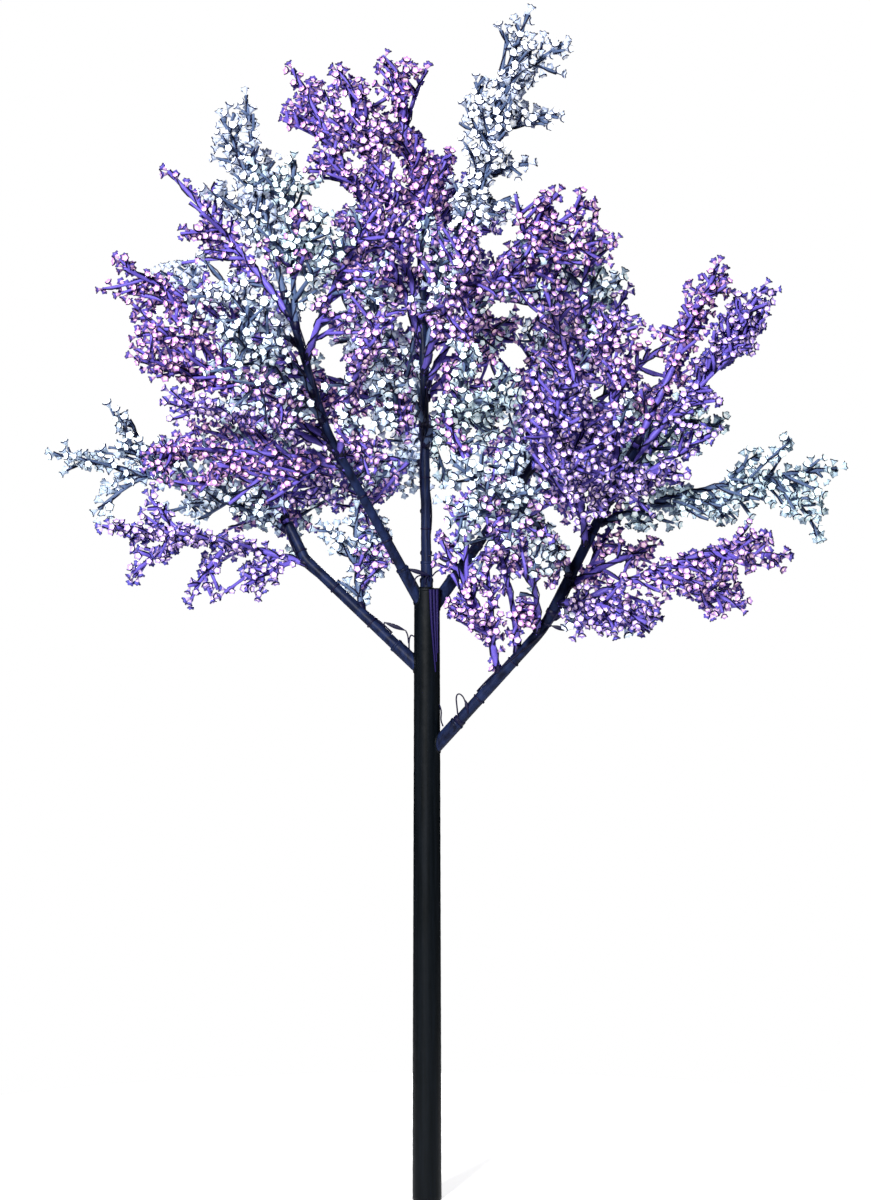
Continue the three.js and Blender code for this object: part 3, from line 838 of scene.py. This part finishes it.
def blossom_places(limb, random):
    """Where blossoms may stand on a limb, its tip first, as (root, heading, stand-off)."""
    line, radii = limb["line"], limb["radii"]
    length = length_of(line)
    fine = spaced(line, max(LEAST_POINTS, round(length / PLACE_STEP)))
    _, along = at_share(fine, 1)
    tilt = BLOSSOM_LEAN_SPREAD * next(random) / 2
    places = [(fine[-1], lean_out(along, side_of(along), tilt, any_turn(random)), 0)]
    roll = any_turn(random)
    count = int(length / BLOSSOM_STEP[limb["kind"]])
    for k in range(count):
        share = varied(k + BLOSSOM_FIRST, BLOSSOM_SHIFT, random) / count
        root, along = at_share(fine, share)
        roll += BLOSSOM_TWIST
        lean = varied(BLOSSOM_LEAN, BLOSSOM_LEAN_SPREAD, random)
        stand = BLOSSOM_STAND * float(np.interp(share, shares(len(radii)), radii))
        places.append((root, lean_out(along, side_of(along), lean, roll), stand))
    return places


def bloom(grown):
    """The blossoms of every spray as (origin, heading, size, roll) rows, by colour."""
    limbs_crowd, mouths = Crowd(CROWD_CELL), Crowd(CROWD_CELL)
    for own, limbs in enumerate(grown):
        for k, limb in enumerate(limbs):
            for point in spaced(limb["line"], max(2, round(length_of(limb["line"]) / PROBE_STEP))):
                limbs_crowd.add(point, (own, k))
    rows = [dict(violet=[], white=[]) for _ in grown]
    for own, limbs in enumerate(grown):
        random = seeded_random(BLOSSOM_SEED + own)
        places, owners = [], []
        for k, limb in enumerate(limbs):
            found = blossom_places(limb, random)
            places += found
            owners += [(own, k)] * len(found)
        sizes = [lerp(BLOSSOM_SIZES[limbs[k]["kind"]], next(random)) for _, k in owners]
        rolls = [any_turn(random) for _ in places]
        origins = np.array([root + heading * stand for root, heading, stand in places])
        headings = np.array([heading for _, heading, _ in places])
        centres = origins + headings * BLOSSOM_CENTRE
        free = has_room(centres, BLOSSOM_REACH, own, BLOSSOM_ROOM) & ~in_sky(centres, BLOSSOM_REACH / 2)
        for i in np.flatnonzero(free):
            kind = limbs[owners[i][1]]["kind"]
            if mouths.near(centres[i], BLOSSOM_APART[kind]):
                continue
            if limbs_crowd.near(centres[i], BLOSSOM_FROM_LIMB, owners[i]):
                continue
            mouths.add(centres[i], owners[i])
            rows[own][kind].append((origins[i], headings[i], sizes[i], rolls[i]))
    return rows


def tube(points, radii, sides):
    """The closed skin of a limb as (vertices, triangles), with a radius for all, each ring or each point."""
    points = np.asarray(points, float)
    along = unit(np.gradient(points, axis=0))
    first = np.empty_like(along)
    side = side_of(along[0])
    for i, axis in enumerate(along):
        side = unit(side - (side @ axis) * axis)
        first[i] = side
    second = np.cross(along, first)
    turn = 2 * np.pi * np.arange(sides) / sides
    ring = turned(first[:, None], second[:, None], turn)
    radii = np.broadcast_to(np.asarray(radii, float).T, (sides, len(points))).T
    skin = points[:, None] + ring * radii[..., None]
    vertices = np.concatenate([skin.reshape(-1, 3), points[:1], points[-1:]])
    rows, around = np.arange(len(points) - 1)[:, None] * sides, np.arange(sides)
    after = (around + 1) % sides
    low, low_next, high, high_next = rows + around, rows + after, rows + sides + around, rows + sides + after
    last = (len(points) - 1) * sides
    ends = len(points) * sides
    triangles = np.concatenate([
        np.stack([low, low_next, high_next], -1).reshape(-1, 3),
        np.stack([low, high_next, high], -1).reshape(-1, 3),
        np.stack([after, around, np.full(sides, ends)], -1),
        np.stack([last + around, last + after, np.full(sides, ends + 1)], -1),
    ])
    return vertices, triangles


def belt(low_start, low, high_start, high):
    """Triangles between two rings of points, one of which may have more points or be a single one."""
    count = max(low, high)
    triangles = []
    for k in range(count):
        a, b = (low_start + step * low // count % low for step in (k, k + 1))
        c, d = (high_start + step * high // count % high for step in (k, k + 1))
        if c != d:
            triangles.append((a, d, c))
        if a != b:
            triangles.append((a, b, d))
    return triangles


def bell():
    """One blossom along +Z from the origin: (vertices, triangles, the look of each triangle)."""
    vertices, triangles, looks = [(0, 0, BELL_FOOT)], [], []
    start, low = 0, 1
    for look, height, radius, count in BELL_RINGS:
        next_start = len(vertices)
        for k in range(count):
            notch = count == 2 * SIDES and k % 2
            turn = 2 * math.pi * k / count
            across = radius * (MOUTH_NOTCH[1] / MOUTH_LOBE[1] if notch else 1)
            up = height - (MOUTH_LOBE[0] - MOUTH_NOTCH[0] if notch else 0)
            vertices.append((across * math.cos(turn), across * math.sin(turn), up))
        found = belt(start, low, next_start, count)
        triangles += found
        looks += [look] * len(found)
        start, low = next_start, count
    return np.array(vertices, float), np.array(triangles), looks


def scattered(template, rows):
    """Copies of a template along the headings of some rows, as one set of (vertices, triangles)."""
    vertices, triangles = template
    origins, along, sizes, rolls = (np.array(column) for column in zip(*rows))
    side = np.array([side_of(axis) for axis in along])
    first = turned(side, np.cross(along, side), rolls)
    axes = np.stack([first, np.cross(along, first), along], axis=1) * sizes[:, None, None]
    placed = origins[:, None] + np.einsum("vk,nkx->nvx", vertices, axes)
    shift = np.arange(len(rows))[:, None, None] * len(vertices)
    return placed.reshape(-1, 3), (triangles + shift).reshape(-1, 3)


def joined(parts):
    """Several (vertices, triangles) sets as one."""
    shifts = np.cumsum([0] + [len(vertices) for vertices, _ in parts[:-1]])
    triangles = [faces + shift for (_, faces), shift in zip(parts, shifts)]
    return np.concatenate([vertices for vertices, _ in parts]), np.concatenate(triangles)


def added(name, data):
    """A new object in the scene."""
    made = bpy.data.objects.new(name, data)
    bpy.context.scene.collection.objects.link(made)
    return made


def piece(name, shape, materials, nodes=(), looks=None):
    """A piece of the tree from (vertices, triangles) in millimetres, riding on the tree's one body."""
    vertices, triangles = shape
    mesh = bpy.data.meshes.new(name)
    mesh.from_pydata((vertices * MM).tolist(), [], triangles.tolist())
    for material in materials:
        mesh.materials.append(material)
    if looks is not None:
        mesh.polygons.foreach_set("material_index", looks)
    mesh.polygons.foreach_set("use_smooth", np.ones(len(triangles), bool))
    mesh.update()
    made = added(name, mesh)
    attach(made, "root")
    if nodes:
        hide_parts(*nodes)


def linear(colour):
    """An sRGB colour of 0 to 255 as the linear colour that shaders take."""
    share = np.array(colour) / 255
    return (*np.where(share <= 0.04045, share / 12.92, ((share + 0.055) / 1.055) ** 2.4), 1)


def with_inputs(node, values):
    """A shader node with some of its inputs set."""
    for name, value in values.items():
        node.inputs[name].default_value = value
    return node


def new_material(name, values):
    """A material, its node tree and its main shader with some inputs set."""
    material = bpy.data.materials.new(name)
    material.use_nodes = True
    tree = material.node_tree
    return material, tree, with_inputs(tree.nodes["Principled BSDF"], values)


def add_grain(tree, shader, scale, detail, strength, distance):
    """Gives a shader fine bumps."""
    noise = with_inputs(tree.nodes.new("ShaderNodeTexNoise"), {"Scale": scale, "Detail": detail})
    bump = with_inputs(tree.nodes.new("ShaderNodeBump"), {"Strength": strength, "Distance": distance})
    tree.links.new(noise.outputs["Fac"], bump.inputs["Height"])
    tree.links.new(bump.outputs["Normal"], shader.inputs["Normal"])


def plastic(name, colour, roughness, glow=None):
    """Moulded plastic of one plain colour with a fine grain, lit from inside where it has a glow."""
    values = {"Base Color": linear(colour), "Roughness": roughness, "Specular IOR Level": PLASTIC_SPECULAR}
    if glow is not None:
        values |= {"Emission Color": linear(colour), "Emission Strength": glow}
    material, tree, shader = new_material(name, values)
    material.cycles.emission_sampling = "NONE"
    add_grain(tree, shader, **PLASTIC_GRAIN)
    return material


def paint(name, dark, light, roughness, scale):
    """Gloss paint on steel: slightly clouded colour and gloss, with a fine orange peel."""
    material, tree, shader = new_material(name, {"Specular IOR Level": PAINT_SPECULAR})
    clouds = with_inputs(tree.nodes.new("ShaderNodeTexNoise"), {"Scale": scale, "Detail": CLOUD_DETAIL})
    tones = tree.nodes.new("ShaderNodeValToRGB")
    for stop, place, colour in zip(tones.color_ramp.elements, TONE_STOPS, (dark, light)):
        stop.position = place
        stop.color = linear(colour)
    ends = {"To Min": roughness - GLOSS_SPREAD, "To Max": roughness + GLOSS_SPREAD}
    gloss = with_inputs(tree.nodes.new("ShaderNodeMapRange"), ends)
    tree.links.new(clouds.outputs["Fac"], tones.inputs["Fac"])
    tree.links.new(tones.outputs["Color"], shader.inputs["Base Color"])
    tree.links.new(clouds.outputs["Fac"], gloss.inputs["Value"])
    tree.links.new(gloss.outputs["Result"], shader.inputs["Roughness"])
    add_grain(tree, shader, **PAINT_PEEL)
    return material


def tint_materials(kind, tint, colours):
    """The materials of one tint of blossom, in the order of LOOKS."""
    return [
        plastic(f"{kind}_{tint}_{look}", colour, ROUGHNESS[look], GLOW[kind].get(look, 0))
        for look, colour in zip(LOOKS, colours)
    ]


def wound(line, radii, phase, pitch=LEAD_PITCH):
    """The centre line of a lead wound round a limb."""
    length = length_of(line)
    count = max(LEAD_LEAST, round(length / LEAD_STEP))
    fine = spaced(line, count)
    across = np.interp(shares(count), shares(len(radii)), radii) + LEAD_RADIUS * LEAD_OUT
    along = unit(np.gradient(fine, axis=0))
    side = side_of(along[0])
    first = unit(side - (along @ side)[:, None] * along)
    turn = phase + 2 * np.pi * np.linspace(0, length, count) / pitch
    return fine + across[:, None] * turned(first, np.cross(along, first), turn)


def knobbed(radii, random):
    """The radii of a limb with small swellings along it."""
    return np.array([radius * varied(1, LIMB_KNOB, random) for radius in radii])


def make_sprays():
    """Twigs, leads and blossoms of the whole crown, each kind joined by colour."""
    grown = [grow(own, spray) for own, spray in enumerate(TREE["sprays"])]
    flowers = bloom(grown)
    vertices, triangles, looks = bell()
    look_numbers = np.array([LOOKS.index(look) for look in looks])
    for kind, tints in TINTS.items():
        random = seeded_random(KNOB_SEED)
        limbs = [limb for spray in grown for limb in spray if limb["kind"] == kind]
        twigs = [tube(limb["line"], knobbed(limb["radii"], random), LIMB_SIDES) for limb in limbs]
        leads = []
        for k, limb in enumerate(limbs):
            for strand in range(limb["leads"]):
                route = wound(limb["line"], limb["radii"], k + math.pi * strand)
                leads.append(tube(route, LEAD_RADIUS, LEAD_SIDES))
        names = [spray["name"] for spray in TREE["sprays"] if spray["kind"] == kind]
        piece(f"{kind}_twigs", joined(twigs), [TWIG_MATERIALS[kind]], names)
        piece(f"{kind}_leads", joined(leads), [LEAD_AND_SHADE_MATERIAL])
        for n, (tint, colours) in enumerate(tints.items()):
            rows = [row for i, found in enumerate(flowers) if i % len(tints) == n for row in found[kind]]
            piece(
                f"{kind}_blossoms_{tint}",
                scattered((vertices, triangles), rows),
                tint_materials(kind, tint, colours),
                looks=np.tile(look_numbers, len(rows)),
            )


def hammered(radii, sides):
    """Radii of a tube for each of its points, with the shallow dimples of hammered paint."""
    rings = np.arange(len(radii))[:, None]
    around = 2 * np.pi * np.arange(sides) / sides
    dimples = sum(
        np.sin(n * around + rate * rings) * np.cos(rate * n + rings * rate / DIMPLE_DRIFT)
        for n, rate in DIMPLES
    )
    return radii[:, None] + RELIEF * dimples / len(DIMPLES)


def weld(name, sizes):
    """The bead where a sleeve comes out of the post's side or top."""
    line = TREE["boughs"][name]
    start, along = line[0], unit(line[1] - line[0])
    axes = frame_of(along, side_of(along))
    turn = np.linspace(0, 2 * np.pi, WELD_POINTS + 1)
    from_axis = start + (sizes["radii"][0] + SOCKET_WALL) * turned(*axes, turn)
    a = along[0] ** 2 + along[1] ** 2
    b = from_axis[:, :2] @ along[:2]
    c = (from_axis[:, :2] ** 2).sum(1) - POST_TOP_RADIUS**2
    out = (np.sqrt(b * b - a * c) - b) / a if a > 0 else np.full(len(b), np.inf)
    top = (POST_HEIGHT - from_axis[:, 2]) / along[2]
    bead = from_axis + along * np.minimum(out, top)[:, None]
    return tube(bead, WELD_RADIUS + WELD_RIPPLE * np.sin(WELD_RIPPLES * turn), WELD_SIDES)


def lip(line, radius):
    """A rounded rim round the end of a tube."""
    out, deep = LIP
    end, along = line[-1], unit(line[-1] - line[-2])
    steps = np.array([-deep, -deep + out, -out, 0])[:, None]
    return tube(end + along * steps, radius + np.array([0, out, out, 0]), SLEEVE_SIDES)


def make_post():
    """The post with its sleeves, lips and weld beads."""
    heights = np.linspace(0, POST_HEIGHT, POST_RINGS)
    line = np.stack([0 * heights, 0 * heights, heights], -1)
    radii = lerp((POST_FOOT_RADIUS, POST_TOP_RADIUS), heights / POST_HEIGHT)
    parts = [tube(line, hammered(radii, POST_SIDES), POST_SIDES), lip(line, POST_TOP_RADIUS)]
    sleeves = []
    for name, sizes in BOUGHS.items():
        bough = TREE["boughs"][name]
        share = sizes["socket"] / length_of(bough)
        sleeve = spaced(bough[: int(share * (len(bough) - 1)) + 1], SLEEVE_RINGS)
        radius = sizes["radii"][0] + SOCKET_WALL
        sleeves += [tube(sleeve, radius, SLEEVE_SIDES), lip(sleeve, radius)]
        parts.append(weld(name, sizes))
    piece("post_tube", joined(parts), [POST_PAINT], ["post"])
    piece("post_sleeves", joined(sleeves), [BOUGH_PAINT])


def pipe_of(name):
    """The centre line of a bough from inside its sleeve on, and its radii."""
    sizes, bough = BOUGHS[name], TREE["boughs"][name]
    start = int((sizes["socket"] - SOCKET_GRIP) / length_of(bough) * (len(bough) - 1))
    return spaced(bough[start:], PIPE_RINGS), lerp(sizes["radii"], shares(PIPE_RINGS))


def make_boughs():
    """The pipes of the boughs."""
    for name in BOUGHS:
        line, radii = pipe_of(name)
        pipe = tube(line, hammered(radii, PIPE_SIDES), PIPE_SIDES)
        piece(f"{name}_pipe", pipe, [BOUGH_PAINT], [name])


def rounded(points):
    """A smooth route through the neighbourhood of a few points, by cutting corners."""
    route = np.array(points, float)
    rest = 1 - CORNER_CUT
    for _ in range(CORNER_ROUNDS):
        before, after = route[:-1], route[1:]
        cuts = np.stack([rest * before + CORNER_CUT * after, CORNER_CUT * before + rest * after], 1)
        route = np.vstack([route[:1], cuts.reshape(-1, 3), route[-1:]])
    return route


def leaf(start, end, half_width):
    """A flat leaf-shaped connector between two points."""
    share = shares(LEAF_POINTS)
    line = lerp(np.array([start, end], float)[:, None], share[:, None])
    vertices, triangles = tube(line, LEAF_END + half_width * np.sin(np.pi * share), LEAF_SIDES)
    middle = (start[1] + end[1]) / 2
    vertices[:, 1] = middle + (vertices[:, 1] - middle) * LEAF_FLATNESS
    return vertices, triangles


def band(line, radii, share, width, thick):
    """A ring round a limb at a share of its length."""
    place, along = at_share(line, share)
    radius = lerp(radii[[0, -1]], share)
    steps = np.array(BAND_STEPS)[:, None] * width
    return tube(place + along * steps, radius + thick * np.array(BAND_RISE), BAND_SIDES)


def post_lead_reflection(points):
    """A tapering lead down the post's front near some (x, z) points, its violet a painted reflection."""
    route = []
    for x, z in points:
        radius = lerp((POST_FOOT_RADIUS, POST_TOP_RADIUS), z / POST_HEIGHT)
        route.append((x, -math.sqrt(radius**2 - x * x), z))
    line = rounded(route)
    return tube(line, lerp(POST_LEAD_REFLECTION_RADII, shares(len(line))), LOOSE_SIDES)


def bough_lead(name):
    """The lead along a bough and the ties that hold it."""
    line, radii = pipe_of(name)
    length = length_of(line)
    first = int(PIPE_LEAD_FROM * len(line))
    girth = radii + PIPE_LEAD_RADIUS / 2
    route = wound(line[first:], girth[first:], PIPE_LEAD_PHASE, PIPE_LEAD_PITCH)
    places = np.arange(TIE_STEP, length, TIE_STEP) / length
    ties = [band(line, girth, share, TIE_WIDTH, TIE_THICK) for share in places]
    return [tube(route, PIPE_LEAD_RADIUS, PIPE_LEAD_SIDES), *ties]


def collar(spray):
    """The collar that grips the foot of a stem."""
    base, along = spray["stem"][0], bezier_along(spray["stem"], 0)
    radius, length = COLLAR
    steps = np.array(COLLAR_STEPS)[:, None] * length
    return tube(base + along * (radius + steps), radius * np.array(COLLAR_GIRTHS), COLLAR_SIDES)


def make_leads():
    """The leads, ties, clamps, collars and connectors on the boughs, and the post's painted-reflection
    leads.
    """
    parts = [part for name in BOUGHS for part in bough_lead(name)]
    parts += [band(*pipe_of(name), share, CLAMP_WIDTH, CLAMP_THICK) for name, share in CLAMPS]
    parts += [collar(spray) for spray in TREE["sprays"]]
    parts += [tube(rounded(points), LOOSE_RADIUS, LOOSE_SIDES) for points in LOOSE_LEADS]
    parts += [leaf(*ends) for ends in LEAVES]
    piece("bough_leads", joined(parts), [LEAD_AND_SHADE_MATERIAL])
    strips = [post_lead_reflection(points) for points in POST_LEAD_REFLECTIONS]
    piece("post_lead_reflections", joined(strips), [POST_LEAD_REFLECTION_MATERIAL])


def make_floor():
    """The pale round floor under the post."""
    turn = np.linspace(0, 2 * np.pi, FLOOR_POINTS + 1)[:-1]
    rim = np.stack([np.cos(turn), np.sin(turn), 0 * turn], -1) * FLOOR_RADIUS
    mesh = bpy.data.meshes.new("floor")
    mesh.from_pydata(rim.tolist(), [], [list(range(len(rim)))])
    floor = added("floor", mesh)
    values = {"Base Color": FLOOR_COLOUR, "Roughness": FLOOR_ROUGHNESS}
    values |= {"Emission Color": WHITE, "Emission Strength": FLOOR_GLOW}
    material, _, _ = new_material("floor_white", values)
    mesh.materials.append(material)


def make_lamps():
    """Round lamps that face the middle of the crown."""
    for name, (place, size, power) in LAMPS.items():
        light = bpy.data.lights.new(name, "AREA")
        light.shape = "DISK"
        light.size = size
        light.energy = power
        lamp = added(name, light)
        lamp.location = place
        lamp.rotation_euler = (CROWN_CENTRE - Vector(place)).to_track_quat("-Z", "Y").to_euler()


def make_world():
    """A white backdrop, and a little even light on the tree."""
    world = bpy.data.worlds.new("white_room")
    world.use_nodes = True
    nodes, links = world.node_tree.nodes, world.node_tree.links
    backdrop = with_inputs(nodes["Background"], {"Color": WHITE})
    ambient = with_inputs(nodes.new("ShaderNodeBackground"), {"Color": WHITE, "Strength": AMBIENT})
    path = nodes.new("ShaderNodeLightPath")
    mix = nodes.new("ShaderNodeMixShader")
    links.new(path.outputs["Is Camera Ray"], mix.inputs["Fac"])
    links.new(ambient.outputs["Background"], mix.inputs[1])
    links.new(backdrop.outputs["Background"], mix.inputs[2])
    links.new(mix.outputs["Shader"], nodes["World Output"].inputs["Surface"])
    bpy.context.scene.world = world
    bpy.context.scene.view_settings.view_transform = "Standard"


def make_camera():
    """The level camera in front of the tree."""
    data = bpy.data.cameras.new("camera")
    data.lens = SENSOR * -CAMERA_PLACE[1] / FRAME_HEIGHT
    camera = added("camera", data)
    camera.location = CAMERA_PLACE
    camera.rotation_euler = (math.pi / 2, 0, 0)
    bpy.context.scene.camera = camera


TREE = lay_out()
TWIG_MATERIALS = {
    # The violet twigs' colour is partly painted light: the violet blossoms' glow laid on darker twigs.
    "violet": plastic("violet_twig_plastic_and_painted_light", colour=(96, 82, 178), roughness=0.45),
    "white": plastic("slate_twig_plastic", colour=(76, 93, 128), roughness=0.45),
}
# The leads' near-black is the wires' own colour and also painted shade for the crown's gaps and twig edges.
LEAD_AND_SHADE_MATERIAL = plastic("lead_sheath_and_painted_shade", colour=(6, 5, 40), roughness=0.5)
# The leads on the post are violet as a painted reflection of the blossoms' light on the dark post.
POST_LEAD_REFLECTION_MATERIAL = plastic("post_lead_painted_reflection", colour=(25, 17, 68), roughness=0.4)
POST_PAINT = paint("post_gloss_paint", dark=(3, 6, 9), light=(8, 13, 19), roughness=0.45, scale=9)
BOUGH_PAINT = paint("bough_gloss_paint", dark=(11, 15, 33), light=(27, 38, 72), roughness=0.42, scale=14)

make_sprays()
make_post()
make_boughs()
make_leads()
make_floor()
make_lamps()
make_world()
make_camera()

bpy.context.view_layer.update()
